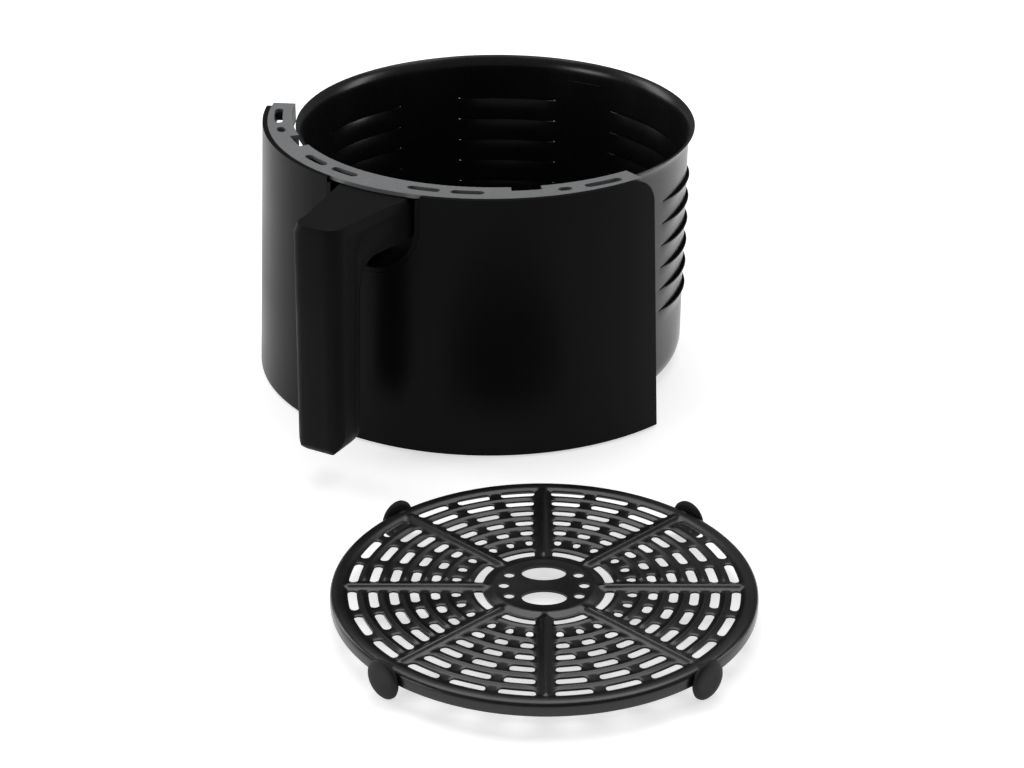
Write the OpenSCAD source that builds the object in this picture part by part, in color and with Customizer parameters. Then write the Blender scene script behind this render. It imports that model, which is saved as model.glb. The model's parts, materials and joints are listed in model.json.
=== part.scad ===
// Drawer of a round air fryer, with its loose crisper plate.
// The pan stands on its flat bottom at Z = 0, its axis is Z, and the handle points along -Y.
// Angles called "turn" are measured about Z from the front (-Y), growing towards +X.

/* [Pan] */
// Radius of the pan's rim, out to the flared edge
rim_r = 110; // [100:1:132]
// Height of the pan
pan_h = 138; // [115:1:166]
// Thickness of the pan's sheet steel
pan_t = 1; // [0.8:0.1:1.4]
// How far the rim flares out from the wall
rim_flare = 3.5; // [2.5:0.5:5]
// Height of the flared edge
rim_h = 7; // [5:0.5:9]
// Radius lost from the top of the wall to its foot
pan_draft = 1.5; // [0:0.5:3]
// Outer radius of the corner between the wall and the bottom
corner_r = 12; // [8:1:16]

/* [Louvres] */
// Columns of louvres round the pan, the first one at the front
louvre_columns = 7; // [5:1:7]
// Louvres in each column
louvre_rows = 6; // [3:1:6]
// Height from one louvre to the next
louvre_pitch = 13; // [11:0.5:13.5]
// Distance from the rim down to the lip of the top louvre
louvre_drop = 25.5; // [24:0.5:30]
// Height of a louvre's scoop
louvre_h = 8; // [6:0.5:9]
// How far a louvre's lip stands out from the wall
louvre_out = 2.3; // [1.8:0.1:2.8]
// Half of the angle that a louvre covers
louvre_half = 15.5; // [10:0.5:17]
// Height of the gap between a louvre's lip and the edge of the wall above it
louvre_gap = 0.4; // [0.2:0.1:1.5]

/* [Fill mark] */
// Height of the fill mark above the pan's bottom
mark_z = 125; // [100:1:128]
// Half of the angle that the fill mark covers
mark_half = 5.5; // [3:0.5:8]
// Height that the fill mark is raised from the wall
mark_raise = 0.4; // [0.3:0.1:0.6]

/* [Front panel] */
// Gap from the pan's rim to the inner face of the panel's top edge
panel_gap = 11.8; // [11:0.1:16]
// Thickness of the panel
panel_t = 2.5; // [2:0.1:3.5]
// Height of the panel's top edge above the pan's rim
panel_over = 5; // [4:0.5:10]
// Clearance between the panel's lower edge and the surface
panel_lift = 1; // [0.5:0.5:4]
// Radius gained from the panel's top edge to its lower edge
panel_flare = 6.7; // [0:0.1:8]
// How far the panel's centre lies ahead of the pan's axis
panel_ahead = 6; // [3:0.5:8]
// Half of the angle that the panel covers
panel_half = 72.7; // [68:0.1:80]
// Radius of the panel's upper corners
panel_corner = 14; // [6:1:16]

/* [Liner and brackets] */
// Gap from the pan's rim to the liner
liner_gap = 2.5; // [2:0.5:4]
// Thickness of the liner
liner_t = 2.5; // [2:0.1:3]
// Half of the angle that the liner covers
liner_half = 64; // [58:1:66]
// Thickness of the steel brackets on the pan
bracket_t = 1.5; // [1.2:0.1:2]
// Height of the flat plate of the upper bracket
bracket_h = 13.5; // [12.5:0.5:15]
// Half of the width of the upper bracket
bracket_half = 24; // [20:1:25]
// Height of the lower bracket's tab above the surface
tab_z = 29; // [26:1:30]

/* [Collar] */
// Gap between the pan's rim and the collar
collar_gap = 1.5; // [1:0.1:2]
// Thickness of the collar's plastic
collar_t = 2.2; // [1.8:0.1:2.6]
// Half of the angle that the collar covers
collar_half = 67; // [64:0.5:68]
// Width of the collar's slots
slot_w = 4.6; // [3:0.1:5.5]

/* [Handle] */
// How far the grip's face stands out from the panel's top edge
handle_reach = 54.5; // [48:0.5:66]
// Width of the arm where it enters the panel
arm_w = 44; // [38:1:46]
// Width of the grip
grip_w = 29.2; // [27:0.1:34]
// Depth of the grip, front to back
grip_depth = 20.5; // [18:0.5:24]
// Distance from the top of the upper bracket down to the arm's underside
arm_drop = 12; // [11.5:0.5:13]
// Height of the grip's lower end above the surface
grip_z = 14; // [8:1:30]
// Radius inside the bend between the arm and the grip
bend_r = 12; // [6:1:14]
// Thickness of the shells' walls
shell_t = 2.6; // [2.2:0.1:3]
// Thickness of the steel core
core_t = 3; // [2.5:0.5:3.5]
// Width of the steel core
core_w = 16; // [14:1:18]

/* [Handle recess] */
// Radius of the round lower end of the recess, and half of its width
cup_r = 27.6; // [25:0.1:30]
// Depth of the recess below the panel's top edge
cup_drop = 44.8; // [40:0.1:50]
// Thickness of the recess's walls
cup_t = 2.3; // [2:0.1:2.6]

/* [Crisper plate] */
// Clearance between the plate and the pan's wall at its foot
plate_gap = 3.5; // [3:0.1:5]
// Thickness of the plate's sheet steel
plate_t = 1.2; // [1:0.1:1.5]
// Height of the plate's top above the surface that it stands on
plate_z = 15.2; // [14:0.1:18]
// Height of the plate's turned-down lip
lip_h = 6.5; // [5:0.5:8]
// Width of the flat band inside the lip
band_w = 7; // [5:0.5:9]
// Depth of the plate's floor below the band
floor_drop = 1; // [0.5:0.1:1.5]
// Rings of slots
slot_rings = 6; // [4:1:6]
// Width of the plate's slots
vent_w = 4.4; // [4:0.1:5.2]
// Metal left between two slots of one ring
vent_bridge = 6; // [4:0.1:6.5]
// Distance from a rib's centre line to the end of a slot
rib_clear = 4.2; // [3:0.1:4.5]
// Radius of the raised hub
hub_r = 23.6; // [22:0.1:26]
// Width of the sloping skirt round the hub
hub_skirt = 5; // [3:0.5:6]
// Place of the plate's centre, to the right of the pan's axis
plate_x = 163; // [150:1:220]
// Place of the plate's centre, ahead of the pan's axis
plate_ahead = 242; // [235:1:300]
// Turn of the plate about its own centre
plate_turn = 29; // [0:1:45]

/* [Bumpers] */
// Radius of a bumper's outer disc
bumper_r = 9.6; // [8.5:0.1:10]
// Clearance between a bumper and the pan's wall at its foot
bumper_gap = 0.3; // [0.1:0.1:1]
// Radius of a bumper's neck and of the hole that it sits in
neck_r = 3; // [2.5:0.1:3.5]
// Radius of a bumper's inner disc
keeper_r = 6; // [5:0.5:7]
// Thickness of a bumper's inner disc
keeper_t = 2.8; // [2:0.1:3]

/* [Fasteners] */
// Clearance round a screw that passes through a part
screw_clear = 0.2; // [0.1:0.1:0.4]
// Radius of the small screws
screw_r = 1.5; // [1.25:0.25:1.75]
// Radius of the handle's bolts
bolt_r = 2; // [1.5:0.25:2]

/* [Hidden] */
$fn = 96;

// Pan
pan_top_r = rim_r - rim_flare;
foot_r = pan_top_r - pan_draft;
pan_in_r = foot_r - pan_t;
top_lip_z = pan_h - louvre_drop;
louvre_root = 0.4;
function wall_r(z) = foot_r + pan_draft * z / pan_h;

// Front panel
panel_top = pan_h + panel_over;
panel_top_r = rim_r + panel_gap + panel_t;
panel_low_r = panel_top_r + panel_flare;
panel_front = panel_ahead + panel_top_r;
function panel_r(z) = panel_top_r + panel_flare * (panel_top - z) / (panel_top - panel_lift);

// Liner: its wall, its two flanges and the flat pad behind the handle
liner_r = rim_r + liner_gap;
liner_out_r = liner_r + liner_t;
flange_t = 2.5;
seat_gap = 0.2;
flange_top = pan_h - rim_h + 1.3;
liner_low = panel_lift + 5;
pad_half = bracket_half + 6;
pad_z = flange_top - 20;

// The stack that holds the handle: bracket plate, liner pad, recess wall, core flange
plate_y = -(liner_out_r - liner_t - 0.3);
pad_y = -liner_out_r;
cup_y = pad_y - cup_t;
core_y = cup_y - core_t;
bracket_top = flange_top - 0.8;
bracket_plate_t = 2;
bolt_x = 8;
bolt_head_h = 3;
washer_t = 0.8;
nut_r = 4.4;
nut_h = 2.8;

// Collar
collar_r = rim_r + collar_gap;
collar_out_r = panel_top_r - panel_t - 0.3;
collar_low = flange_top + seat_gap;
plate_low = panel_top - collar_t;
skirt_h = plate_low + collar_t / 2 - collar_low;
slot_mid_r = (collar_r + panel_ahead + collar_out_r) / 2 - 0.6;
boss_r = 3.4;
boss_turns = [-50.5, -30, 30, 50.5];
notch_mid = 37.6;
notch_half = 4;
// Middle and half-angle of each slot of the collar
collar_slots = [[11.6, 3.2], [22.7, 3.2], [47, 0.8], [57.4, 4.2]];

// Handle
handle_top = plate_low - 0.3;
handle_front = -(panel_front + handle_reach);
grip_back = handle_front + grip_depth;
arm_low = bracket_top - arm_drop;
grip_half = grip_w / 2;
grip_taper = 1;
corner_round = 5;
seam_z = handle_top - 6.5;
seam_y = grip_back - 3.5;
leg_z = seam_z - core_t;
// The bolts lie midway between the arm's lower wall and the core's strap
bolt_room = leg_z - arm_low - shell_t;
bolt_z = leg_z - bolt_room / 2;
washer_r = bolt_room / 2 - 0.45;
bolt_head_r = washer_r - 0.5;
strap_y = handle_front + 8;
grip_screws_z = [grip_z + 28, arm_low - 22];
arm_screw_y = (cup_y + grip_back) / 2;
post_r = 4;
screw_bite = 4;
head_r = 2.8;
head_h = 2;

// Crisper plate
plate_r = pan_in_r - plate_gap;
floor_r = plate_r - band_w;
floor_z = plate_z - floor_drop;
lip_in_r = plate_r - plate_t;
sector = 45;
outer_ring_r = floor_r - vent_w / 2 - 1.8;
ring_pitch = (outer_ring_r - hub_r - hub_skirt - vent_w / 2) / slot_rings;
arc_slot_r = hub_r + hub_skirt + vent_w / 2;
rib_r = 3;
rib_raise = 1.3;

// Bumpers
bumper_z = bumper_r;
bumper_out_r = pan_in_r - bumper_gap;
tab_half = 5;
tab_low = 4.2;

module at_turn(turn) {
    rotate([0, 0, turn]) children();
}

// Puts a cylinder's axis along the radius at a turn, starting at a distance from the Z axis
module radial(turn, z, start) {
    at_turn(turn) translate([0, -start, z]) rotate([90, 0, 0]) children();
}

// A round plate standing on the XY plane, cut to a sector on each side of the front
module wedge(half, reach) {
    tip = reach / cos(half / 2);
    translate([0, 0, -10])
        linear_extrude(panel_top + 40)
            polygon([[0, 0], for (turn = [-half, -half / 2, 0, half / 2, half])
                [tip * sin(turn), -tip * cos(turn)]]);
}

// ---- Pan ----

module pan_outline(inset) {
    wall_top = pan_h - rim_h;
    corner = corner_r - inset;
    foot = foot_r - inset;
    difference() {
        union() {
            polygon([[0, inset], [foot - corner, inset], [foot, corner_r],
                     [wall_r(wall_top) - inset, wall_top],
                     [rim_r - 1 - inset, pan_h - 2.4], [rim_r - inset, pan_h + inset],
                     [0, pan_h + inset]]);
            translate([foot - corner, corner_r]) circle(corner);
        }
        translate([-2 * corner_r, -corner_r]) square([2 * corner_r, 2 * pan_h]);
    }
}

// The cone that shapes one louvre. It leaves the wall at the scoop's foot and ends.
module louvre_cone(lip_z, inset, extra) {
    wall = wall_r(lip_z);
    centre = (louvre_out ^ 2 + 2 * wall * louvre_out)
        / (2 * wall * (1 - cos(louvre_half)) + 2 * louvre_out);
    lip_r = wall + louvre_out - centre;
    translate([0, -centre, lip_z - louvre_h])
        cylinder(h = louvre_h + extra, r1 = lip_r - louvre_out - louvre_root - inset,
                 r2 = lip_r - inset + louvre_out * extra / louvre_h);
}

module louvre_column(inset, extra) {
    for (row = [0 : louvre_rows - 1])
        louvre_cone(top_lip_z - row * louvre_pitch, inset, extra);
}

module pan_shell() {
    rotate_extrude()
        difference() {
            pan_outline(0);
            pan_outline(pan_t);
        }
}

// The pan with its first columns of louvres, pressed one column after another
module pressed_pan(columns) {
    if (columns == 0)
        pan_shell();
    else
        difference() {
            union() {
                pressed_pan(columns - 1);
                at_turn(columns * 360 / louvre_columns)
                    difference() {
                        louvre_column(0, 0);
                        cylinder(h = pan_h, r1 = foot_r - pan_t, r2 = pan_top_r - pan_t);
                    }
            }
            at_turn(columns * 360 / louvre_columns) louvre_column(pan_t, louvre_gap);
        }
}

module fill_mark() {
    mark_r = wall_r(mark_z) - pan_t;
    at_turn(90 - mark_half)
        rotate_extrude(angle = 2 * mark_half)
            translate([mark_r - mark_raise, mark_z]) square([mark_raise + pan_t / 2, 1.2]);
}

module pan() {
    color("#202022") {
        pressed_pan(louvre_columns);
        fill_mark();
    }
}

// ---- Brackets welded to the pan ----

// A strip of sheet steel wrapped on the pan's wall
module wall_strip(from_turn, to_turn, low, high) {
    at_turn(from_turn - 90)
        rotate_extrude(angle = to_turn - from_turn)
            polygon([[wall_r(low), low], [wall_r(low) + bracket_t, low],
                     [wall_r(high) + bracket_t, high], [wall_r(high), high]]);
}

module upper_bracket() {
    low = bracket_top - bracket_h;
    leg_turn = asin(bracket_half / pan_top_r);
    color("#9a9a9c") {
        difference() {
            union() {
                translate([-bracket_half, plate_y, low])
                    cube([2 * bracket_half, bracket_plate_t, bracket_h]);
                for (side = [-1, 1])
                    translate([side * (bracket_half - 1) - 1, plate_y, low])
                        cube([2, 12, bracket_h]);
            }
            for (side = [-1, 1])
                translate([side * bolt_x, 0, bolt_z]) rotate([90, 0, 0])
                    cylinder(h = -plate_y + 5, r = bolt_r + screw_clear);
            rotate_extrude() pan_outline(0);
        }
        wall_strip(-leg_turn - 7, -leg_turn, low, bracket_top - 1);
        wall_strip(leg_turn, leg_turn + 7, low, bracket_top - 1);
    }
}

module weld_nuts() {
    color("#b4b4b6")
        for (side = [-1, 1])
            translate([side * bolt_x, plate_y + bracket_plate_t, bolt_z]) rotate([-90, 0, 0])
                difference() {
                    cylinder(h = nut_h, r = nut_r, $fn = 6);
                    translate([0, 0, -1]) cylinder(h = nut_h + 2, r = bolt_r);
                }
}

module lower_bracket() {
    tab_half_w = 14;
    color("#9a9a9c") {
        wall_strip(-13, 13, tab_z - 5, tab_z + 7);
        difference() {
            translate([-tab_half_w, -liner_out_r - 6, tab_z])
                cube([2 * tab_half_w, 40, bracket_t]);
            translate([0, 0, -1]) cylinder(h = pan_h, r = wall_r(tab_z + bracket_t) + bracket_t / 2);
        }
    }
}

// ---- Panel, liner and collar ----

// Solid bounded by the panel's face, set in from it
module panel_solid(inset) {
    low = panel_lift - 10;
    high = panel_top + 10;
    translate([0, -panel_ahead, low])
        cylinder(h = high - low, r1 = panel_r(low) - inset, r2 = panel_r(high) - inset);
}

// Outline of the recess, round below and open to the top
module cup_prism(inset, back) {
    r = cup_r - inset;
    centre_z = panel_top - cup_drop + cup_r;
    translate([0, back, 0]) rotate([90, 0, 0]) linear_extrude(60) {
        translate([0, centre_z]) circle(r);
        translate([-r, centre_z]) square([2 * r, panel_top + 20 - centre_z]);
    }
}

// Cuts one upper corner of the panel round, seen along the radius
module corner_cutter(side) {
    translate([0, -panel_ahead, 0]) at_turn(side * panel_half)
        translate([-side * panel_corner, -80, panel_top - panel_corner]) rotate([90, 0, 0])
            difference() {
                translate([side > 0 ? 0 : -2 * panel_corner, 0])
                    cube([2 * panel_corner, 2 * panel_corner, 90]);
                translate([0, 0, -1]) cylinder(h = 92, r = panel_corner);
            }
}

panel_boss_turns = [-52, 52];
panel_boss_z = [liner_low + 20, pan_h - 34];

module panel_bosses(r, start, end) {
    for (turn = panel_boss_turns, z = panel_boss_z)
        radial(turn, z, start) cylinder(h = end - start, r = r);
}

module front_panel() {
    color("#18181a")
        difference() {
            union() {
                intersection() {
                    difference() {
                        panel_solid(0);
                        panel_solid(panel_t);
                    }
                    translate([0, -panel_ahead, 0]) wedge(panel_half, panel_low_r + 10);
                    translate([-300, -300, panel_lift]) cube([600, 300, panel_top - panel_lift]);
                }
                intersection() {
                    panel_bosses(4, liner_out_r, panel_low_r + panel_ahead);
                    panel_solid(panel_t / 2);
                }
            }
            cup_prism(-seat_gap, cup_y);
            corner_cutter(-1);
            corner_cutter(1);
            panel_bosses(screw_r, liner_out_r - 1, liner_out_r + 8);
        }
}

module liner() {
    tab_half_w = 14 + seat_gap;
    color("#2a2a2c")
        difference() {
            union() {
                intersection() {
                    difference() {
                        union() {
                            translate([0, 0, liner_low])
                                cylinder(h = flange_top - liner_low, r = liner_out_r);
                            for (z = [liner_low, flange_top - flange_t])
                                translate([0, 0, z]) cylinder(h = flange_t, r = panel_low_r + 10);
                        }
                        translate([0, 0, liner_low - 1])
                            cylinder(h = flange_top - liner_low + 2, r = liner_r);
                    }
                    wedge(liner_half, panel_low_r + 20);
                    panel_solid(panel_t + seat_gap);
                }
                translate([-pad_half, pad_y, pad_z])
                    cube([2 * pad_half, liner_t + 0.3, flange_top - pad_z]);
            }
            translate([-bracket_half - 0.3, plate_y, bracket_top - bracket_h - 0.3])
                cube([2 * bracket_half + 0.6, 20, bracket_h + 0.6]);
            cup_prism(-seat_gap, pad_y);
            translate([-tab_half_w, -liner_out_r - 1, tab_z - seat_gap])
                cube([2 * tab_half_w, 20, bracket_t + 2 * seat_gap]);
            for (side = [-1, 1])
                translate([side * bolt_x, 0, bolt_z]) rotate([90, 0, 0])
                    cylinder(h = -pad_y + 5, r = bolt_r + screw_clear);
            panel_bosses(screw_r + screw_clear, liner_r - 5, liner_out_r + 1);
            for (turn = boss_turns)
                at_turn(turn) translate([0, -slot_mid_r, flange_top - 10])
                    cylinder(h = 20, r = screw_r + screw_clear);
        }
}

module panel_screws() {
    seat = liner_r - 0.1;
    color("#b4b4b6")
        for (turn = panel_boss_turns, z = panel_boss_z)
            radial(turn, z, seat - head_h) {
                cylinder(h = head_h, r = head_r);
                cylinder(h = head_h + liner_t + 7, r = screw_r);
            }
}

// A curved slot, as a sector of a ring with round ends that are a little narrower than the slot
module arc_slot(mid_r, middle, half, w, low, high) {
    end_r = w / 2 - 0.15;
    at_turn(middle - half - 90)
        rotate_extrude(angle = 2 * half)
            translate([mid_r - w / 2, low]) square([w, high - low]);
    for (end = [-half, half])
        at_turn(middle + end) translate([0, -mid_r, low]) cylinder(h = high - low, r = end_r);
}

// Walls across both ends of the collar. The wedge that ends the collar halves their thickness.
module collar_end_walls() {
    intersection() {
        difference() {
            translate([0, -panel_ahead, collar_low]) cylinder(h = skirt_h, r = collar_out_r - 0.5);
            translate([0, 0, collar_low - 1]) cylinder(h = panel_top, r = collar_r + 0.5);
        }
        for (side = [-1, 1])
            at_turn(side * collar_half) translate([-2, -collar_r - 30, collar_low + 1])
                cube([4, 40, skirt_h - 1]);
    }
}

module collar() {
    color("#3a3a3c")
        difference() {
            union() {
                intersection() {
                    difference() {
                        translate([0, -panel_ahead, plate_low]) cylinder(h = collar_t, r = collar_out_r);
                        translate([0, 0, plate_low - 1]) cylinder(h = collar_t + 2, r = collar_r);
                    }
                    wedge(collar_half, panel_low_r + 20);
                }
                intersection() {
                    union() {
                        difference() {
                            translate([0, 0, collar_low])
                                cylinder(h = skirt_h, r = collar_r + 2);
                            translate([0, 0, collar_low - 1])
                                cylinder(h = panel_top, r = collar_r);
                        }
                        difference() {
                            translate([0, -panel_ahead, collar_low])
                                cylinder(h = skirt_h, r = collar_out_r);
                            translate([0, -panel_ahead, collar_low - 1])
                                cylinder(h = panel_top, r = collar_out_r - 1.8);
                            cup_prism(-seat_gap, -collar_r - 3);
                        }
                        collar_end_walls();
                    }
                    wedge(collar_half, panel_low_r + 20);
                }
                for (turn = boss_turns)
                    at_turn(turn) translate([0, -slot_mid_r, collar_low]) cylinder(h = skirt_h, r = boss_r);
            }
            for (side = [-1, 1], slot = collar_slots)
                arc_slot(slot_mid_r, side * slot[0], slot[1], slot_w, plate_low - 1, panel_top + 1);
            for (side = [-1, 1])
                at_turn(side * notch_mid - notch_half - 90)
                    rotate_extrude(angle = 2 * notch_half)
                        translate([collar_r - 1, collar_low + 3]) square([6, panel_top]);
            for (turn = boss_turns)
                at_turn(turn) translate([0, -slot_mid_r, collar_low - 1])
                    cylinder(h = 8, r = screw_r);
        }
}

module collar_screws() {
    color("#b4b4b6")
        for (turn = boss_turns)
            at_turn(turn) translate([0, -slot_mid_r, flange_top - flange_t]) {
                translate([0, 0, -head_h]) cylinder(h = head_h, r = head_r);
                cylinder(h = flange_t + 6.5, r = screw_r);
            }
}

// ---- Handle ----

module handle_cup() {
    color("#161618")
        intersection() {
            difference() {
                cup_prism(0, pad_y);
                cup_prism(cup_t, cup_y);
                translate([-60, -200, handle_top]) cube([120, 200, 60]);
                for (side = [-1, 1])
                    translate([side * bolt_x, 0, bolt_z]) rotate([90, 0, 0])
                        cylinder(h = -cup_y + 5, r = bolt_r + screw_clear);
            }
            panel_solid(0);
        }
}

// Side view of the handle: Y across, Z up
module handle_side(inset) {
    front = handle_front + inset;
    back = grip_back - inset;
    low = arm_low + inset;
    high = handle_top - inset;
    end_r = 7;
    bend = bend_r + inset;
    end_z = grip_z + inset + end_r;
    translate([front, end_z]) square([back - front, high - end_z]);
    translate([front + end_r, grip_z + inset]) square([back - front - 2 * end_r, end_r]);
    for (y = [front + end_r, back - end_r])
        translate([y, end_z]) circle(end_r);
    translate([front, low]) square([cup_y - front, high - low]);
    difference() {
        translate([back - 1, low - bend]) square([bend + 1, bend + 1]);
        translate([back + bend, low - bend]) circle(bend);
    }
}

// Top view of the handle: X across, Y back
module handle_plan(inset) {
    front = handle_front + inset;
    taper_end = grip_back - 6;
    half = grip_half - inset;
    root = arm_w / 2 - inset;
    round_r = corner_round - inset / 2;
    polygon([[-root, cup_y], [-root, -panel_front + 2], [-half, taper_end], [-half, front + round_r],
             [half, front + round_r], [half, taper_end], [root, -panel_front + 2], [root, cup_y]]);
    translate([-half + round_r, front]) square([2 * (half - round_r), round_r + 1]);
    for (side = [-1, 1])
        translate([side * (half - round_r), front + round_r]) circle(round_r);
}

// Front view of the handle: X across, Z up. Only the grip is narrowed.
module handle_face(inset) {
    half = grip_half - inset;
    end = half - grip_taper;
    low = grip_z + inset + end;
    translate([0, low]) circle(end);
    polygon([[-end, low], [end, low], [half, arm_low - bend_r], [arm_w, arm_low - bend_r],
             [arm_w, handle_top + 1], [-arm_w, handle_top + 1], [-arm_w, arm_low - bend_r],
             [-half, arm_low - bend_r]]);
}

module handle_body(inset) {
    intersection() {
        translate([-arm_w, 0, 0]) rotate([90, 0, 90]) linear_extrude(2 * arm_w) handle_side(inset);
        linear_extrude(2 * panel_top) handle_plan(inset);
        rotate([90, 0, 0]) linear_extrude(2 * panel_top) handle_face(inset);
    }
}

// Everything in front of and above the seam between the two shells
module seam_side() {
    r = bend_r + 2;
    translate([-arm_w, 0, 0]) rotate([90, 0, 90]) linear_extrude(2 * arm_w) {
        translate([handle_front - 10, 0]) square([seam_y - handle_front + 10, panel_top + 10]);
        translate([handle_front, seam_z]) square([-handle_front, panel_top]);
        difference() {
            translate([seam_y - 1, seam_z - r]) square([r + 1, r + 1]);
            translate([seam_y + r, seam_z - r]) circle(r);
        }
    }
}

// The steel core's strap, down the grip and along the arm
module core_path() {
    strap_low = grip_z + 16;
    translate([-core_w / 2, strap_y, strap_low])
        cube([core_w, core_t, leg_z + core_t - strap_low]);
    translate([-core_w / 2, strap_y, leg_z])
        cube([core_w, cup_y - strap_y, core_t]);
}

// The shell screws' places: two from the finger side of the grip, one from under the arm.
// $core_depth is how deep the steel core lies there, measured from the screw's own face.
module at_shell_screws() {
    for (z = grip_screws_z)
        translate([0, grip_back, z]) rotate([90, 0, 0]) {
            $core_depth = grip_back - strap_y - core_t;
            children();
        }
    translate([0, arm_screw_y, arm_low]) {
        $core_depth = leg_z - arm_low;
        children();
    }
}

module handle_wall() {
    difference() {
        handle_body(0);
        handle_body(shell_t);
    }
}

module handle_front_shell() {
    color("#242426")
        difference() {
            union() {
                intersection() {
                    handle_wall();
                    seam_side();
                }
                intersection() {
                    at_shell_screws() translate([0, 0, $core_depth + core_t])
                        cylinder(h = grip_depth, r = post_r);
                    handle_body(shell_t / 2);
                }
            }
            at_shell_screws() cylinder(h = $core_depth + core_t + screw_bite, r = screw_r);
        }
}

module handle_back_shell() {
    color("#1e1e20")
        difference() {
            union() {
                difference() {
                    handle_wall();
                    seam_side();
                }
                at_shell_screws() translate([0, 0, 0.5]) cylinder(h = $core_depth - 0.5, r = post_r);
            }
            at_shell_screws() {
                cylinder(h = grip_depth, r = screw_r + screw_clear);
                translate([0, 0, -1]) cylinder(h = head_h + 1, r = head_r + screw_clear);
            }
        }
}

module handle_core() {
    flange_half = 13;
    flange_low = arm_low + shell_t + 0.3;
    color("#a8a8aa")
        difference() {
            union() {
                core_path();
                translate([-flange_half, core_y, flange_low])
                    cube([2 * flange_half, core_t, leg_z + core_t - flange_low]);
            }
            at_shell_screws() cylinder(h = grip_depth, r = screw_r + 2 * screw_clear);
            for (side = [-1, 1])
                translate([side * bolt_x, 0, bolt_z]) rotate([90, 0, 0])
                    cylinder(h = -core_y + 5, r = bolt_r + screw_clear);
        }
}

module handle_washers() {
    color("#b4b4b6")
        for (side = [-1, 1])
            translate([side * bolt_x, core_y, bolt_z]) rotate([90, 0, 0])
                difference() {
                    cylinder(h = washer_t, r = washer_r);
                    translate([0, 0, -1]) cylinder(h = washer_t + 2, r = bolt_r + screw_clear);
                }
}

module handle_bolts() {
    seat = core_y - washer_t;
    color("#b4b4b6")
        for (side = [-1, 1])
            translate([side * bolt_x, seat, bolt_z]) rotate([90, 0, 0]) {
                cylinder(h = bolt_head_h, r = bolt_head_r);
                translate([0, 0, seat - plate_y - bracket_plate_t - nut_h])
                    cylinder(h = plate_y + bracket_plate_t + nut_h - seat, r = bolt_r);
            }
}

module shell_screws() {
    color("#b4b4b6")
        at_shell_screws() {
            cylinder(h = head_h, r = head_r);
            cylinder(h = $core_depth + core_t + screw_bite - 0.5, r = screw_r);
        }
}

// ---- Crisper plate and its bumpers ----

module at_plate() {
    translate([plate_x, -plate_ahead, 0]) at_turn(plate_turn) children();
}

// One straight slot with round ends, across the radius at a turn. A short one is a round hole.
module vent(r, turn, length) {
    d = min(vent_w, length);
    at_turn(turn) translate([0, -r, floor_z - 5]) linear_extrude(10) {
        if (length > d)
            square([length - d, d], center = true);
        for (end = length > d ? [-1, 1] : [0])
            translate([end * (length - d) / 2, 0]) circle(d / 2);
    }
}

module vents() {
    for (ring = [0 : slot_rings - 1]) {
        r = outer_ring_r - ring * ring_pitch;
        length = (r * sector * PI / 180 - 2 * rib_clear - 2 * vent_bridge) / 3;
        step = (length + vent_bridge) / r * 180 / PI;
        for (rib = [0 : 7], place = [-1 : 1])
            vent(r, (rib + 0.5) * sector + place * step, length);
    }
    inner_half = sector / 2 - (rib_clear + 2) / arc_slot_r * 180 / PI;
    for (rib = [0 : 7])
        arc_slot(arc_slot_r, (rib + 0.5) * sector, inner_half, 4, floor_z - 5, plate_z + 5);
}

module hub_holes() {
    for (side = [-1, 1]) {
        for (turn = [-30, 0, 30])
            at_turn(turn + side * 90) translate([0, -0.8 * hub_r, 0]) cylinder(h = 30, r = 2.6);
        translate([0, side * 0.47 * hub_r, 0]) {
            translate([-4, -6.5, 0]) cube([8, 13, 30]);
            for (end = [-4, 4])
                translate([end, 0, 0]) cylinder(h = 30, r = 6.5);
        }
    }
}

module plate_profile() {
    polygon([[0, plate_z - plate_t], [hub_r, plate_z - plate_t],
             [hub_r + hub_skirt, floor_z - plate_t], [floor_r - 1, floor_z - plate_t],
             [floor_r, plate_z - plate_t], [lip_in_r, plate_z - plate_t],
             [lip_in_r, plate_z - lip_h], [plate_r, plate_z - lip_h], [plate_r, plate_z],
             [floor_r - 0.5, plate_z], [floor_r - 1.5, floor_z], [hub_r + hub_skirt, floor_z],
             [hub_r, plate_z], [0, plate_z]]);
}

module plate_ribs() {
    difference() {
        for (rib = [0 : 7])
            at_turn(rib * sector) translate([0, -hub_r - hub_skirt / 2, floor_z + rib_raise - rib_r])
                rotate([90, 0, 0]) cylinder(h = floor_r - hub_r - hub_skirt / 2, r = rib_r);
        cylinder(h = floor_z - plate_t / 2, r = plate_r);
    }
}

module crisper_plate() {
    color("#1a1a1c") at_plate()
        difference() {
            union() {
                rotate_extrude() plate_profile();
                plate_ribs();
                for (corner = [0 : 3])
                    at_turn(sector + corner * 90 - 90 - tab_half * 180 / PI / plate_r)
                        rotate_extrude(angle = 2 * tab_half * 180 / PI / plate_r)
                            translate([lip_in_r, tab_low]) square([plate_t, plate_z - lip_h - tab_low + 1]);
            }
            vents();
            hub_holes();
            for (corner = [0 : 3])
                radial(sector + corner * 90, bumper_z, lip_in_r - 5) cylinder(h = 10, r = neck_r);
        }
}

// A silicone grommet: a thick outer disc, a neck through the lip and a keeper disc inside it
module bumper(corner) {
    edge = 1.5;
    out_t = bumper_out_r - plate_r;
    color("#111112") at_plate()
        radial(sector + corner * 90, bumper_z, lip_in_r - keeper_t) rotate_extrude() {
            square([keeper_r, keeper_t]);
            square([neck_r, keeper_t + plate_t + 1]);
            translate([0, keeper_t + plate_t]) {
                square([bumper_r - edge, out_t]);
                translate([0, edge]) square([bumper_r, out_t - 2 * edge]);
                for (level = [edge, out_t - edge])
                    translate([bumper_r - edge, level]) circle(edge);
            }
        }
}

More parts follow.
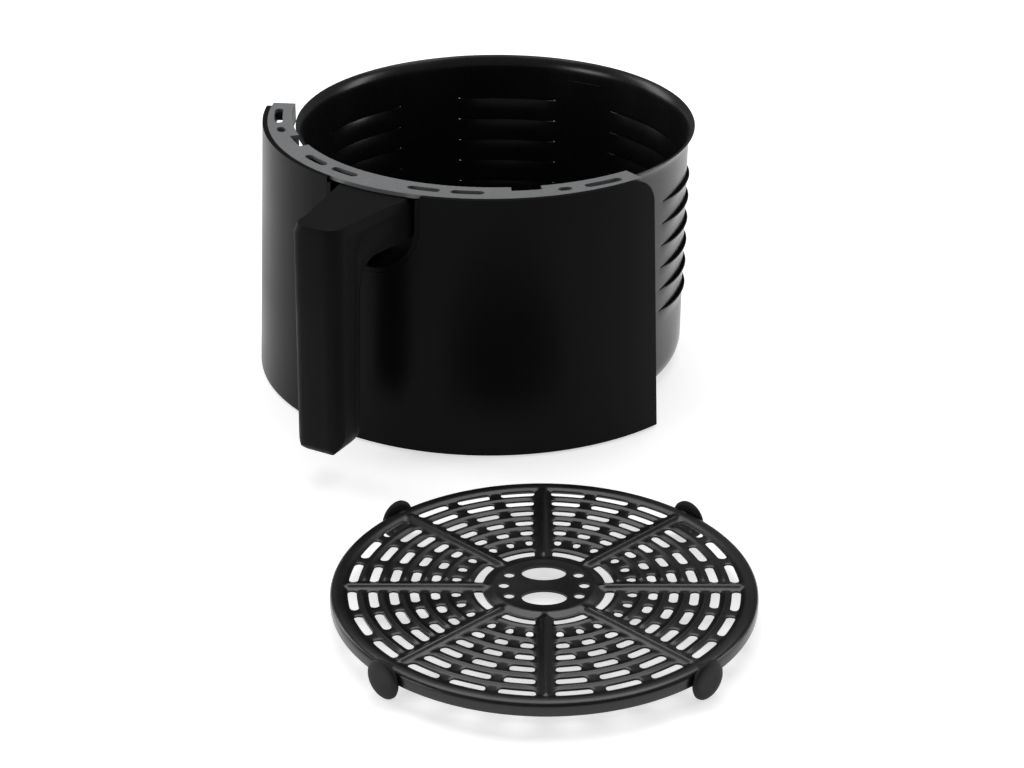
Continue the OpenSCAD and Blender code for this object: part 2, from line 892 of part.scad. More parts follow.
pan();
upper_bracket();
weld_nuts();
lower_bracket();
liner();
front_panel();
panel_screws();
collar();
collar_screws();
handle_cup();
handle_core();
handle_bolts();
handle_washers();
handle_front_shell();
handle_back_shell();
shell_screws();
crisper_plate();
bumper(0);  // bumper_1
bumper(1);  // bumper_2
bumper(2);  // bumper_3
bumper(3);  // bumper_4
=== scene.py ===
# %% [markdown]
# An air fryer drawer and its crisper plate
#
# The drawer is a round black pan of coated sheet steel. A curved plastic panel closes its front, a
# slotted collar covers the gap between the two, and a bar handle is bolted through a recess.
# The crisper plate is out of the pan and stands in front of it on four silicone bumpers.
# The engineering model is loaded first and never moves. It gives every size and place.

# %% Load the fixed frame
import json
from math import cos, pi, radians, sin

import bmesh
import bpy
from mathutils import Matrix, Vector


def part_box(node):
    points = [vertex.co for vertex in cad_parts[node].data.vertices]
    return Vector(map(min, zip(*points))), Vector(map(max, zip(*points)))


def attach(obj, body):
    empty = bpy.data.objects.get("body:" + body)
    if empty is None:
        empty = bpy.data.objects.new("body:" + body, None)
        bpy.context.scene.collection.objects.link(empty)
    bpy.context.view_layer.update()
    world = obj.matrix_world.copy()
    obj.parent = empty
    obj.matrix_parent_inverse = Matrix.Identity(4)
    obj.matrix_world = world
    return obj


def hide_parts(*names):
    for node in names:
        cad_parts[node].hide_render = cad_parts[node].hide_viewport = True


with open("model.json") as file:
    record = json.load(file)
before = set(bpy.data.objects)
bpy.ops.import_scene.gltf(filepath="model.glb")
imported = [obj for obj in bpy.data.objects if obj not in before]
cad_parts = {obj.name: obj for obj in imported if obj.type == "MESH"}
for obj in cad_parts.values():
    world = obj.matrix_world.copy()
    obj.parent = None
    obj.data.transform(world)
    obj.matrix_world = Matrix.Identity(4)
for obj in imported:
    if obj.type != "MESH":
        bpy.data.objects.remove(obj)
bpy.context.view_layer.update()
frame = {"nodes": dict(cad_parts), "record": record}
MM = 0.001

# %% [markdown]
# The camera comes first, because every later choice is judged through it. A long lens from a
# metre and a half away, looking down at 27 degrees, keeps the rim and the plate as calm, flat ellipses.
# The size of a lens in Blender is its focal length against a sensor 36 mm wide.

# %% Camera
lens = bpy.data.cameras.new("camera")
lens.lens = 88.53
lens.sensor_width = 36
camera = bpy.data.objects.new("camera", lens)
camera.location = (0.6451, -1.1355, 0.6277)
camera.rotation_euler = (radians(63.45), 0, radians(29.2))
bpy.context.scene.collection.objects.link(camera)
bpy.context.scene.camera = camera
print("camera", tuple(round(v, 3) for v in camera.location), "lens", lens.lens)

# %% [markdown]
# Black objects on white are lit by what they mirror. A pale floor that glows a little, as a light
# table does, keeps the slots of the plate bright. One wide softbox hangs above and behind, which
# shines along the louvres and the rim, and two tall ones at the sides draw the soft grey edges.
# The world is a weak grey, so that the faces turned to the camera stay nearly black.

# %% Floor, world and lights
def flat_material(name, colour, glow):
    material = bpy.data.materials.new(name)
    material.use_nodes = True
    shader = material.node_tree.nodes["Principled BSDF"]
    shader.inputs["Base Color"].default_value = (*colour, 1)
    shader.inputs["Roughness"].default_value = 0.9
    shader.inputs["Specular IOR Level"].default_value = 0.0
    shader.inputs["Emission Color"].default_value = (1, 1, 1, 1)
    shader.inputs["Emission Strength"].default_value = glow
    return material


floor_mesh = bpy.data.meshes.new("floor")
bm = bmesh.new()
bmesh.ops.create_grid(bm, x_segments=1, y_segments=1, size=6)
bmesh.ops.translate(bm, vec=(0, 0, -0.0004), verts=bm.verts)
bm.to_mesh(floor_mesh)
bm.free()
floor = bpy.data.objects.new("floor", floor_mesh)
floor_mesh.materials.append(flat_material("light_table", (0.8, 0.8, 0.8), 0.62))
bpy.context.scene.collection.objects.link(floor)

world = bpy.data.worlds.new("studio")
world.use_nodes = True
world.node_tree.nodes["Background"].inputs["Color"].default_value = (1, 1, 1, 1)
world.node_tree.nodes["Background"].inputs["Strength"].default_value = 0.16
bpy.context.scene.world = world
bpy.context.scene.view_settings.view_transform = "Standard"


def softbox(name, place, aim, width, height, watts):
    light = bpy.data.lights.new(name, "AREA")
    light.shape = "RECTANGLE"
    light.size = width
    light.size_y = height
    light.energy = watts
    lamp = bpy.data.objects.new(name, light)
    lamp.location = place
    lamp.rotation_euler = (Vector(aim) - Vector(place)).to_track_quat("-Z", "Y").to_euler()
    bpy.context.scene.collection.objects.link(lamp)
    print(name, "at", place, watts, "W")
    return lamp


softbox("top_softbox", (-0.2, 0.45, 1.7), (0.05, -0.05, 0), 1.6, 1.2, 19)
softbox("left_softbox", (-1.7, -0.1, 0.7), (0, 0, 0.08), 0.5, 1.3, 9)
softbox("right_softbox", (1.5, 1.0, 0.7), (0, 0, 0.08), 0.5, 1.3, 8)
softbox("front_softbox", (-0.75, -1.3, 0.5), (0, 0, 0.1), 0.55, 0.5, 4)

# %% [markdown]
# Every finish starts from the same node group: a fine random grain. Moulded plastic, silicone and
# a baked coating all have one, but at another scale and strength. The group puts out a mask, which
# varies the colour and roughness, and a bent normal, which breaks up the highlights. It reads
# object coordinates, so the grain is fixed to the piece and has its real size in metres.

# %% The grain group
def new_group(name, sockets_in, sockets_out):
    group = bpy.data.node_groups.new(name, "ShaderNodeTree")
    for title, kind, value in sockets_in:
        socket = group.interface.new_socket(title, in_out="INPUT", socket_type=kind)
        socket.default_value = value
    for title, kind in sockets_out:
        group.interface.new_socket(title, in_out="OUTPUT", socket_type=kind)
    return group, group.nodes.new("NodeGroupInput"), group.nodes.new("NodeGroupOutput")


def make_grain_group():
    group, start, end = new_group(
        "fine_grain",
        [("Scale", "NodeSocketFloat", 900), ("Height", "NodeSocketFloat", 0.1),
         ("Patch Scale", "NodeSocketFloat", 30)],
        [("Mask", "NodeSocketFloat"), ("Patches", "NodeSocketFloat"), ("Normal", "NodeSocketVector")])
    nodes, links = group.nodes, group.links
    place = nodes.new("ShaderNodeTexCoord")
    grain = nodes.new("ShaderNodeTexNoise")
    grain.inputs["Detail"].default_value = 3
    patches = nodes.new("ShaderNodeTexNoise")
    patches.inputs["Detail"].default_value = 2
    bump = nodes.new("ShaderNodeBump")
    bump.inputs["Distance"].default_value = 0.0001
    links.new(place.outputs["Object"], grain.inputs["Vector"])
    links.new(place.outputs["Object"], patches.inputs["Vector"])
    links.new(start.outputs["Scale"], grain.inputs["Scale"])
    links.new(start.outputs["Patch Scale"], patches.inputs["Scale"])
    links.new(start.outputs["Height"], bump.inputs["Strength"])
    links.new(grain.outputs["Fac"], bump.inputs["Height"])
    links.new(grain.outputs["Fac"], end.inputs["Mask"])
    links.new(patches.outputs["Fac"], end.inputs["Patches"])
    links.new(bump.outputs["Normal"], end.inputs["Normal"])
    return group


fine_grain = make_grain_group()
print("group", fine_grain.name, "inputs", [s.name for s in fine_grain.interface.items_tree])

# %% [markdown]
# A finish is a Principled shader with the grain group in front of it. Two colour ramps turn the
# masks into a small range of colours and a small range of roughness. What is the same all over
# the surface, such as the specular level, is set on the shader's own socket.

# %% A helper that makes one finish
def make_finish(name, dark, light, rough, specular=0.5, metallic=0.0, scale=900, height=0.1, patch=30):
    material = bpy.data.materials.new(name)
    material.use_nodes = True
    nodes, links = material.node_tree.nodes, material.node_tree.links
    shader = nodes["Principled BSDF"]
    shader.inputs["Specular IOR Level"].default_value = specular
    shader.inputs["Metallic"].default_value = metallic
    grain = nodes.new("ShaderNodeGroup")
    grain.node_tree = fine_grain
    grain.inputs["Scale"].default_value = scale
    grain.inputs["Height"].default_value = height
    grain.inputs["Patch Scale"].default_value = patch
    colours = nodes.new("ShaderNodeValToRGB")
    colours.color_ramp.elements[0].position = 0.3
    colours.color_ramp.elements[0].color = (*dark, 1)
    colours.color_ramp.elements[1].position = 0.7
    colours.color_ramp.elements[1].color = (*light, 1)
    roughness = nodes.new("ShaderNodeMapRange")
    roughness.inputs["From Min"].default_value = 0.3
    roughness.inputs["From Max"].default_value = 0.7
    roughness.inputs["To Min"].default_value = rough[0]
    roughness.inputs["To Max"].default_value = rough[1]
    links.new(grain.outputs["Mask"], colours.inputs["Fac"])
    links.new(grain.outputs["Patches"], roughness.inputs["Value"])
    links.new(colours.outputs["Color"], shader.inputs["Base Color"])
    links.new(roughness.outputs["Result"], shader.inputs["Roughness"])
    links.new(grain.outputs["Normal"], shader.inputs["Normal"])
    print("finish", name)
    return material


# %% [markdown]
# The finishes follow the real parts. The non-stick coating is sprayed and baked, so it is smooth
# with a faint orange-peel. The panel is polished plastic, the handle has a soft-touch coat, the
# collar is a plain matte moulding and the bumpers are silicone. Brackets are bare steel and the
# fasteners are zinc plated.

# %% All finishes
def grey(value, blue=0.0):
    """A grey that leans a little towards blue."""
    return (value, value, value + blue)


finishes = {
    "pan_coating": make_finish("pan_coating", grey(0.006, 0.001), grey(0.010, 0.001), (0.22, 0.34),
                               0.45, 0.0, 420, 0.12, 25),
    "bracket_steel": make_finish("bracket_steel", grey(0.42, 0.01), grey(0.56, 0.01), (0.35, 0.5),
                                 0.5, 1.0, 1500, 0.15, 40),
    "fastener_steel": make_finish("fastener_steel", grey(0.55, 0.02), grey(0.68, 0.02), (0.25, 0.4),
                                  0.5, 1.0, 2000, 0.1, 80),
    "liner_plastic": make_finish("liner_plastic", grey(0.016, 0.001), grey(0.024, 0.001), (0.5, 0.62),
                                 0.4, 0.0, 1600, 0.2, 30),
    "panel_plastic": make_finish("panel_plastic", grey(0.0012, 0.0001), grey(0.0022, 0.0002), (0.26, 0.36),
                                 0.07, 0.0, 1300, 0.05, 12),
    "collar_plastic": make_finish("collar_plastic", (0.15, 0.155, 0.16), (0.21, 0.215, 0.22), (0.42, 0.55),
                                  0.45, 0.0, 1500, 0.2, 50),
    "handle_plastic": make_finish("handle_plastic", grey(0.0060, 0.0003), grey(0.0090, 0.0005), (0.46, 0.58),
                                  0.05, 0.0, 2200, 0.25, 35),
    "silicone": make_finish("silicone", grey(0.004), grey(0.007), (0.55, 0.7), 0.3, 0.0, 1200, 0.2, 60),
}

for part in frame["record"]["subparts"]:
    mesh = frame["nodes"][part["node"]].data
    mesh.materials.clear()
    mesh.materials.append(finishes[part["material_slot"]])

# %% [markdown]
# New pieces share three small helpers. The first one turns a bmesh into a finished object: doubles
# are merged, the faces are turned outwards, the shading is smooth except over sharp edges, the
# piece is hung on the body it rides on, and the engineering parts it stands for are hidden. The second one
# bakes the modifiers of an object into its mesh. The third one cuts one shape with another.

# %% Helpers for new pieces
def to_object(name, bm, closed=True):
    bmesh.ops.remove_doubles(bm, verts=bm.verts, dist=1e-6)
    if closed:
        bmesh.ops.recalc_face_normals(bm, faces=bm.faces)
    mesh = bpy.data.meshes.new(name)
    bm.to_mesh(mesh)
    bm.free()
    piece = bpy.data.objects.new(name, mesh)
    bpy.context.scene.collection.objects.link(piece)
    return piece


def bake_modifiers(piece):
    bpy.context.view_layer.update()
    baked = bpy.data.meshes.new_from_object(piece.evaluated_get(bpy.context.evaluated_depsgraph_get()))
    piece.modifiers.clear()
    old = piece.data
    piece.data = baked
    bpy.data.meshes.remove(old)
    return piece


def carve(piece, cutter, operation="DIFFERENCE", keep_cutter=False):
    boolean = piece.modifiers.new("carve", "BOOLEAN")
    boolean.operation = operation
    boolean.solver = "EXACT"
    boolean.object = cutter
    bake_modifiers(piece)
    if not keep_cutter:
        bpy.data.objects.remove(cutter)
    return piece


def dress(piece, body, slot, *nodes, angle=35):
    for polygon in piece.data.polygons:
        polygon.use_smooth = True
    piece.data.set_sharp_from_angle(angle=radians(angle))
    piece.data.materials.clear()
    piece.data.materials.append(finishes[slot])
    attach(piece, body)
    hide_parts(*nodes)
    low = [round(min(v.co[i] for v in piece.data.vertices) / MM, 1) for i in range(3)]
    high = [round(max(v.co[i] for v in piece.data.vertices) / MM, 1) for i in range(3)]
    print(piece.name, len(piece.data.polygons), "faces, mm", low, high)
    return piece


# %% [markdown]
# The pan is deep-drawn from steel sheet, and then rows of louvres are lanced and pressed outwards,
# so that hot air can pass. A revolved profile would miss the louvres. Here one seventh of the wall
# starts as a flat grid. Its columns become angles and its rows become steps of the profile. Where
# a louvre is, the grid is pushed out, most at the lip, and the faces just above the lip are
# deleted. Spin copies the sector seven times, and Solidify gives the sheet its thickness.

# %% Sizes of the pan
pan_low, pan_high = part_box("pan")
rim_r = pan_high.x / MM
pan_h = pan_high.z / MM
sheet = 1.0
foot_r, corner = rim_r - 5.0, 12.0
louvre_lips = [pan_h - 25.5 - 13.0 * row for row in range(6)]
louvre_h, louvre_out, louvre_half = 8.0, 2.3, 15.7
print("pan rim radius", round(rim_r, 2), "height", round(pan_h, 2))


def wall_r(z):
    return foot_r + 1.5 * z / pan_h


# %% The profile of the pan, as rows of (radius, height, share of the louvre's depth)
pan_rows = [(2, 0, 0), (30, 0, 0), (60, 0, 0), (82, 0, 0), (foot_r - corner, 0, 0)]
for step in range(1, 6):
    turn = step * pi / 12
    pan_rows.append((foot_r - corner + corner * sin(turn), corner - corner * cos(turn), 0))
pan_rows += [(wall_r(z), z, 0) for z in (12, 14, 22, 32, 38)]
cut_rows = set()
for lip in sorted(louvre_lips):
    for share in (0, 0.25, 0.5, 0.72, 0.9, 1):
        z = lip - louvre_h * (1 - share)
        pan_rows.append((wall_r(z), z, share ** 1.5))
    cut_rows.add(len(pan_rows) - 1)
    pan_rows.append((wall_r(lip), lip + 0.35, 0))
    pan_rows.append((wall_r(lip + 1.4), lip + 1.4, 0))
pan_rows += [(wall_r(z), z, 0) for z in (118, 124, pan_h - 7)]
flare = ((3.3, 5.4), (2.8, 3.9), (1.9, 2.5), (0.9, 1.6), (0.3, 1.2), (0.0, 0.6))  # in and down from the edge
pan_rows += [(rim_r - r, pan_h - z, 0) for r, z in flare]
print(len(pan_rows), "rows in the pan's profile")

# %% Bend a grid into one sector, press its louvres and copy it round
half_columns = [0, 2.6, 5.2, 7.8, 10.2, 12.4, 14.2, louvre_half, 17.6, 21.6, 180 / 7]
pan_turns = [-a for a in reversed(half_columns[1:])] + half_columns


def bent_grid(turns, rows, place):
    bm = bmesh.new()
    wide, tall = len(turns) - 1, len(rows) - 1
    bmesh.ops.create_grid(bm, x_segments=wide, y_segments=tall, size=0.5)
    cells = {}
    for face in bm.faces:
        middle = face.calc_center_median()
        cells[face] = (int((middle.x + 0.5) * wide), int((middle.y + 0.5) * tall))
    for vert in bm.verts:
        vert.co = place(round((vert.co.x + 0.5) * wide), round((vert.co.y + 0.5) * tall))
    return bm, cells


def on_pan(column, row):
    turn = pan_turns[column]
    r, z, share = pan_rows[row]
    if abs(turn) < louvre_half:
        r += louvre_out * share * (1 - abs(turn / louvre_half) ** 2.6)
        if row - 1 in cut_rows:
            z -= 1.1 * (1 - abs(turn / louvre_half) ** 8)
    return Vector((r * sin(radians(turn)), -r * cos(radians(turn)), z)) * MM


bm, cells = bent_grid(pan_turns, pan_rows, on_pan)
gaps = [face for face, (column, row) in cells.items()
        if row in cut_rows and abs(pan_turns[column] + pan_turns[column + 1]) / 2 < louvre_half]
bmesh.ops.delete(bm, geom=gaps, context="FACES")
bmesh.ops.spin(bm, geom=bm.verts[:] + bm.edges[:] + bm.faces[:], cent=(0, 0, 0), axis=(0, 0, 1),
               angle=2 * pi * 6 / 7, steps=6, use_duplicate=True)
bmesh.ops.remove_doubles(bm, verts=bm.verts, dist=1e-5)
bmesh.ops.contextual_create(bm, geom=[e for e in bm.edges if e.is_boundary and e.verts[0].co.length < 3 * MM])
pan = to_object("pan_pressed", bm, closed=False)
print("pan grid", len(pan.data.polygons), "faces")

# %% Give the sheet its thickness and round it
wall = pan.modifiers.new("sheet", "SOLIDIFY")
wall.thickness = sheet * MM
wall.offset = -1
wall.use_even_offset = True
smooth = pan.modifiers.new("smooth", "SUBSURF")
smooth.levels = smooth.render_levels = 1
bake_modifiers(pan)

# %% [markdown]
# The fill mark is a short raised line on the back wall. A cube is stretched into a bar and bent
# round the pan's axis, because the mark was pressed with the wall and follows it. The lettering
# under the real one is left out.

# %% The fill mark
bm = bmesh.new()
bmesh.ops.create_cube(bm, size=1)
lengthwise = [e for e in bm.edges if abs(e.verts[0].co.x - e.verts[1].co.x) > 0.5]
bmesh.ops.subdivide_edges(bm, edges=lengthwise, cuts=12)
for vert in bm.verts:
    turn = radians(180 + vert.co.x * 11.4)
    r = wall_r(125) - sheet - 0.1 + 0.6 * vert.co.y
    vert.co = Vector((r * sin(turn), -r * cos(turn), 125.6 + 1.2 * vert.co.z)) * MM
fill_mark = to_object("fill_mark", bm)
dress(fill_mark, "drawer", "pan_coating")
dress(pan, "drawer", "pan_coating", "pan", angle=50)

# %% [markdown]
# The crisper plate is one pressed disc: slots are punched in six rings, eight ribs and round
# ridges stiffen it, and its edge is turned down. It is made like the pan, from one sector of a
# grid that is copied eight times. The columns follow the ends of the slots, so a slot is simply
# a run of faces that is deleted, and Subdivision rounds its ends.

# %% Sizes of the plate
plate_low, plate_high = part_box("crisper_plate")
plate_centre = (plate_low + plate_high) / 2
plate_turn, plate_top = radians(29), 15.2
plate_r = 100.5
floor_z, ring_pitch, vent_w = 14.2, 9.66, 3.9
ring_radii = [90.0 - ring_pitch * ring for ring in range(6)]
bridge, rib_clear = 6.5, 4.5
print("plate radius", plate_r, "rings", [round(r, 1) for r in ring_radii])


def slot_stations(r):
    """Distances along the ring from a sector's middle to its rib, at the ends of the slots."""
    side = r * pi / 8
    slot = (side - rib_clear - 0.02 * (90 - r) - bridge) * 2 / 3
    end = min(1.6, slot / 3)
    return [0, slot / 2 - end, slot / 2, slot / 2 + bridge / 2, slot / 2 + bridge, slot / 2 + bridge + end,
            slot + bridge, slot * 1.5 + bridge - end, slot * 1.5 + bridge, side - 2.5, side - 1.1, side]


def arc_stations(r):
    """The same for the single curved slot of a sector round the hub, and for plain rows."""
    side = r * pi / 8
    end = side - rib_clear * min(1, r / 30)
    return [0, end * 0.14, end * 0.28, end * 0.42, end * 0.55, end * 0.67, end * 0.79, end * 0.9, end,
            side - 2.5 * min(1, r / 30), side - 1.2 * min(1, r / 30), side]


# %% Rows of the plate: radius, height, kind
plate_rows = [(1.5, 15.0, "hub"), (8, 15.0, "hub"), (15, 15.0, "hub"), (20, 15.0, "hub"), (22.6, 15.1, "hub"),
              (23.8, 15.2, "hub"), (25.2, 14.9, "hub"), (27.4, 14.1, "hub"), (28.6, floor_z - 0.2, "floor"),
              (29.1, floor_z - 0.2, "arc"), (31.1, floor_z - 0.2, "arc_mid"), (33.1, floor_z - 0.1, "floor"),
              (34.4, floor_z, "floor"), (35.4, floor_z + 0.8, "ridge"), (36.4, floor_z, "floor")]
for r in reversed(ring_radii):
    plate_rows += [(r - vent_w / 2, floor_z, "slot"), (r, floor_z, "slot_mid"),
                   (r + vent_w / 2, floor_z, "floor")]
    if r < ring_radii[0] - 1:
        plate_rows += [(r + 3.7, floor_z, "floor"), (r + ring_pitch / 2, floor_z + 1.1, "ridge"),
                       (r + ring_pitch - 3.7, floor_z, "floor")]
plate_rows += [(92.5, floor_z + 0.2, "band"), (93.6, 15.0, "band"), (95.0, 15.4, "band"),
               (97.6, 15.3, "band"),
               (99.3, 15.0, "band"), (100.2, 14.2, "band"), (100.5, 13.2, "band"), (100.5, 9.4, "band"),
               (100.5, 8.7, "lip"), (100.5, 4.2, "tab")]
row_kinds = [kind for _, _, kind in plate_rows]


def on_plate(column, row):
    r, z, kind = plate_rows[row]
    middle = 11
    step = abs(column - middle)
    stations = slot_stations(r) if 37 < r < 92 else arc_stations(r)
    along = stations[step]
    if kind in ("lip", "tab") and step >= 8:
        along = stations[11] - (5.0, 3.2, 1.4, 0)[step - 8]
    if step in (2, 4, 8) and 37 < r < 93:
        outwards = 1 if step in (2, 8) else -1
        near = min(abs(r - ring) for ring in ring_radii)
        along += outwards * (0.5 if kind == "slot_mid" else -0.6 if near < vent_w / 2 + 0.1 else 0)
    if kind == "ridge":
        z = floor_z + (z - floor_z) * (1 if step < 8 else 0)
    if 26 < r < 93 and step >= 9:
        z = max(z, floor_z + (0.1, 1.1, 1.7)[step - 9] * min(1, (r - 25) / 4))
    turn = along / r * (1 if column > middle else -1) if step else 0
    return Vector((r * sin(turn), -r * cos(turn), z)) * MM


bm, cells = bent_grid(range(23), plate_rows, on_plate)
punched = []
for face, (column, row) in cells.items():
    step = column - 11 if column >= 11 else 10 - column
    kind = row_kinds[row]
    if kind in ("slot", "slot_mid") and step in (0, 1, 4, 5, 6, 7):
        punched.append(face)
    if kind in ("arc", "arc_mid") and step < 8:
        punched.append(face)
bmesh.ops.delete(bm, geom=punched, context="FACES")
bmesh.ops.rotate(bm, cent=(0, 0, 0), matrix=Matrix.Rotation(pi / 8, 3, "Z"), verts=bm.verts)
bmesh.ops.spin(bm, geom=bm.verts[:] + bm.edges[:] + bm.faces[:], cent=(0, 0, 0), axis=(0, 0, 1),
               angle=2 * pi * 7 / 8, steps=7, use_duplicate=True)
bmesh.ops.remove_doubles(bm, verts=bm.verts, dist=1e-5)
rim = [e for e in bm.edges if e.is_boundary and max(v.co.length for v in e.verts) < 18 * MM]
bmesh.ops.contextual_create(bm, geom=rim)
skirt = []
for face in bm.faces:
    middle = face.calc_center_median() / MM
    if middle.z < 8.6:
        corner_gap = min((Vector((middle.x, middle.y)).normalized() - Vector((x, y)).normalized()).length
                         for x in (-1, 1) for y in (-1, 1))
        if corner_gap > 0.06:
            skirt.append(face)
bmesh.ops.delete(bm, geom=skirt, context="FACES")
bmesh.ops.rotate(bm, cent=(0, 0, 0), matrix=Matrix.Rotation(plate_turn, 3, "Z"), verts=bm.verts)
bmesh.ops.translate(bm, vec=(plate_centre.x, plate_centre.y, 0), verts=bm.verts)
bmesh.ops.reverse_faces(bm, faces=bm.faces)
plate = to_object("crisper_disc", bm, closed=False)
print("plate grid", len(plate.data.polygons), "faces,", len(punched), "punched a sector")

# %% Thickness and rounded slots
wall = plate.modifiers.new("sheet", "SOLIDIFY")
wall.thickness = 1.2 * MM
wall.offset = -1
smooth = plate.modifiers.new("smooth", "SUBSURF")
smooth.levels = smooth.render_levels = 1
bake_modifiers(plate)

# %% [markdown]
# The hub has two oval holes for the fingers and three small round holes at each side. They cross
# the grid's lines, so they are cut out afterwards, with upright pins in the holes' shapes.

# %% Holes of the hub
bm = bmesh.new()


def pin(bm, x, y, rx, ry):
    made = bmesh.ops.create_cone(bm, cap_ends=True, segments=40, radius1=1, radius2=1, depth=0.02)
    bmesh.ops.scale(bm, vec=(rx * MM, ry * MM, 1), verts=made["verts"])
    bmesh.ops.translate(bm, vec=(x * MM, y * MM, plate_top * MM), verts=made["verts"])


for side in (-1, 1):
    pin(bm, 0, side * 11.1, 10.6, 6.6)
    for turn in (60, 90, 120):
        pin(bm, side * 18.9 * sin(radians(turn)), -18.9 * cos(radians(turn)), 2.6, 2.6)
bmesh.ops.rotate(bm, cent=(0, 0, 0), matrix=Matrix.Rotation(plate_turn, 3, "Z"), verts=bm.verts)
bmesh.ops.translate(bm, vec=(plate_centre.x, plate_centre.y, 0), verts=bm.verts)
carve(plate, to_object("hub_pins", bm))
dress(plate, "crisper", "pan_coating", "crisper_plate", angle=50)

# %% [markdown]
# Each bumper is a silicone grommet: a thick round pad outside the lip, a neck through a hole in it
# and a smaller disc inside that keeps it there. Its profile is drawn once and spun about the
# neck's axis. The four are copies, turned to the four diagonals of the plate.

# %% Bumpers
bumper_profile = [(0, 0), (5.2, 0), (6, 0.7), (6, 2.1), (5.4, 2.8), (3, 2.8), (3, 4.0), (7.6, 4.0),
                  (8.9, 4.3),
                  (9.6, 5.3), (9.5, 6.2), (8.6, 7.0), (6.5, 7.4), (3.2, 7.6), (0, 7.65)]
for corner in range(4):
    bm = bmesh.new()
    line = [bm.verts.new((r * MM, 0, h * MM)) for r, h in bumper_profile]
    edges = [bm.edges.new(pair) for pair in zip(line, line[1:])]
    bmesh.ops.spin(bm, geom=line + edges, cent=(0, 0, 0), axis=(0, 0, 1), angle=2 * pi, steps=36,
                   use_merge=True)
    turn = radians(45 + 90 * corner) + plate_turn
    bmesh.ops.rotate(bm, cent=(0, 0, 0), matrix=Matrix.Rotation(pi / 2, 3, "X"), verts=bm.verts)
    bmesh.ops.translate(bm, vec=(0, -(plate_r - 4.0) * MM, 9.6 * MM), verts=bm.verts)
    bmesh.ops.rotate(bm, cent=(0, 0, 0), matrix=Matrix.Rotation(turn, 3, "Z"), verts=bm.verts)
    bmesh.ops.translate(bm, vec=(plate_centre.x, plate_centre.y, 0), verts=bm.verts)
    bumper = to_object(f"bumper_pad_{corner + 1}", bm)
    dress(bumper, "crisper", "silicone", f"bumper_{corner + 1}", angle=60)

# %% [markdown]
# The handle is moulded in two shells that close round a steel strap. Seen from above it is a
# trapezium, from the side an L with a round inner bend, and from the front a bar with a round end.
# Each outline is drawn as a few corners, rounded by a bevel and extruded to a long prism. What all
# three prisms share is the handle. The same steps with a smaller size give the hollow inside.
# The top edge has a sloping band, so the prism of the top view ends in an inset that rises.

# %% An outline with rounded corners, extruded to a prism
def prism(name, corners, roundings, turn, start, depth, band=None):
    """corners are (across, along) in mm. roundings gives corner number: radius. turn lays it flat."""
    bm = bmesh.new()
    verts = [bm.verts.new((x, y, 0)) for x, y in corners]
    bm.faces.new(verts)
    for number, radius in roundings.items():
        bmesh.ops.bevel(bm, geom=[verts[number]], offset=radius, offset_type="OFFSET",
                        segments=10, profile=0.5, affect="VERTICES", material=-1)
    face = bm.faces[:][0]
    made = bmesh.ops.extrude_face_region(bm, geom=[face])
    cap = [f for f in made["geom"] if isinstance(f, bmesh.types.BMFace)]
    bmesh.ops.translate(bm, vec=(0, 0, depth), verts=list({v for f in cap for v in f.verts}))
    if band:
        bmesh.ops.inset_region(bm, faces=cap, thickness=band[0], depth=0, use_even_offset=True)
        bmesh.ops.translate(bm, vec=(0, 0, band[1]), verts=list({v for f in cap for v in f.verts}))
    bmesh.ops.translate(bm, vec=(0, 0, start), verts=bm.verts)
    bmesh.ops.transform(bm, matrix=turn, verts=bm.verts)
    bmesh.ops.scale(bm, vec=(MM, MM, MM), verts=bm.verts)
    return to_object(name, bm)


SIDE = Matrix(((0, 0, 1), (1, 0, 0), (0, 1, 0)))  # drawn (Y, Z), extruded along X
TOP = Matrix.Identity(3)  # drawn (X, Y), extruded along Z
FRONT = Matrix(((1, 0, 0), (0, 0, -1), (0, 1, 0)))  # drawn (X, Z), extruded along -Y

# %% Sizes of the handle
front_low, front_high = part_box("handle_front_shell")
handle_front, handle_top = front_low.y / MM, front_high.z / MM
grip_depth, arm_h, shell_wall, bend_r = 20.5, 21.0, 2.4, 12
grip_back = handle_front + grip_depth
handle_root = front_high.y / MM
arm_low, grip_low = handle_top - arm_h, front_low.z / MM
grip_half, root_half, root_y = 14.8, 22.2, -128.5  # half-widths, and where the arm starts to narrow
band_in, band_rise = 2.1, 4.6
wide, beyond = 40, 8  # how far a prism reaches past the handle
print("handle front", round(handle_front, 1), "top", round(handle_top, 1), "root", round(handle_root, 1))


# %% One blank of the handle, full size or reduced all round
def handle_blank(name, inset, band=None):
    front, back = handle_front + inset, grip_back - inset
    low, high = arm_low + inset, handle_top - inset
    half, root = grip_half - inset, root_half - inset
    foot, waist, end = grip_low + inset, grip_back - 6, half - 1.1
    shoulder, rise = low - 14, band[1] if band else 0
    side = prism(name, [(front, foot), (back, foot), (back, low), (handle_root, low),
                        (handle_root, high + 5), (front, high + 5)],
                 {2: bend_r + inset, 1: 9.5 - inset, 0: 10.5 - inset}, SIDE, -wide, 2 * wide)
    top = prism("top_view", [(-root, handle_root), (-root, root_y), (-half, waist), (-half, front + 1.6),
                             (0, front), (half, front + 1.6), (half, waist), (root, root_y),
                             (root, handle_root)],
                {5: 9.0 - inset, 3: 8.0 - inset, 4: 5.0}, TOP, 0, high - rise, band)
    face = prism("front_view", [(-end, foot), (end, foot), (half, shoulder), (wide, shoulder),
                                (wide, high + beyond), (-wide, high + beyond), (-wide, shoulder),
                                (-half, shoulder)],
                 {0: end - 0.3, 1: end - 0.3}, FRONT, 60, 160)
    carve(side, top, "INTERSECT")
    return carve(side, face, "INTERSECT")


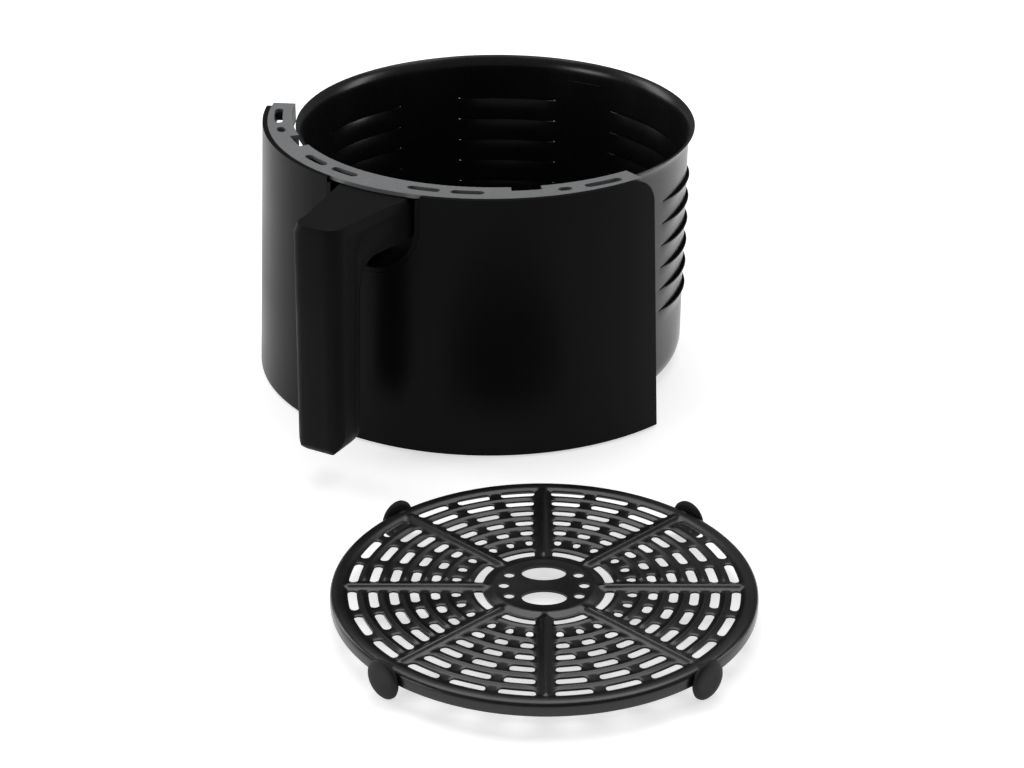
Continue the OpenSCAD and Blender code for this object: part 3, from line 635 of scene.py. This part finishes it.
outer = handle_blank("handle_outer", 0, band=(band_in, band_rise))
hollow = handle_blank("handle_hollow", shell_wall)
carve(outer, hollow)
print("handle wall", len(outer.data.polygons), "faces")

# %% [markdown]
# The seam runs just under the sloping band, bends down with a larger radius than the arm, and
# follows the back of the grip. The front shell is what the seam's prism shares with the wall, and
# the back shell is the rest. A small bevel on every edge leaves the fine groove that a real seam
# has, and it gives the edges their thin highlights.

# %% Cut along the seam and soften the edges
seam_z, seam_y = handle_top - 6.2, grip_back - 3.2
ahead, behind, above = handle_front - 15, handle_root + 5, handle_top + 10
seam = prism("seam_side", [(ahead, 0), (seam_y, 0), (seam_y, seam_z), (behind, seam_z), (behind, above),
                           (ahead, above)], {2: 14}, SIDE, -50, 100)
back_shell = bpy.data.objects.new("grip_back_shell", outer.data.copy())
bpy.context.scene.collection.objects.link(back_shell)
front_shell = outer
front_shell.name = "grip_front_shell"
carve(back_shell, seam, keep_cutter=True)
carve(front_shell, seam, "INTERSECT")


def soften(piece, width, segments=2, limit=28):
    bm = bmesh.new()
    bm.from_mesh(piece.data)
    bmesh.ops.remove_doubles(bm, verts=bm.verts, dist=2e-5)
    bmesh.ops.dissolve_degenerate(bm, edges=bm.edges, dist=2e-5)
    bmesh.ops.dissolve_limit(bm, angle_limit=radians(0.5), verts=bm.verts, edges=bm.edges)
    bm.to_mesh(piece.data)
    bm.free()
    bevel = piece.modifiers.new("soft_edges", "BEVEL")
    bevel.width = width * MM
    bevel.segments = segments
    bevel.limit_method = "ANGLE"
    bevel.angle_limit = radians(limit)
    bevel.use_clamp_overlap = True
    return bake_modifiers(piece)


def lean(piece):
    """The grip leans forwards a little towards its lower end."""
    for vert in piece.data.vertices:
        drop = max(0, (arm_low - 14) * MM - vert.co.z)
        vert.co.y -= drop * 0.035


for shell, node in ((front_shell, "handle_front_shell"), (back_shell, "handle_back_shell")):
    soften(shell, 0.45)
    lean(shell)
    dress(shell, "drawer", "handle_plastic", node, angle=24)

# %% Finish
bpy.context.view_layer.update()
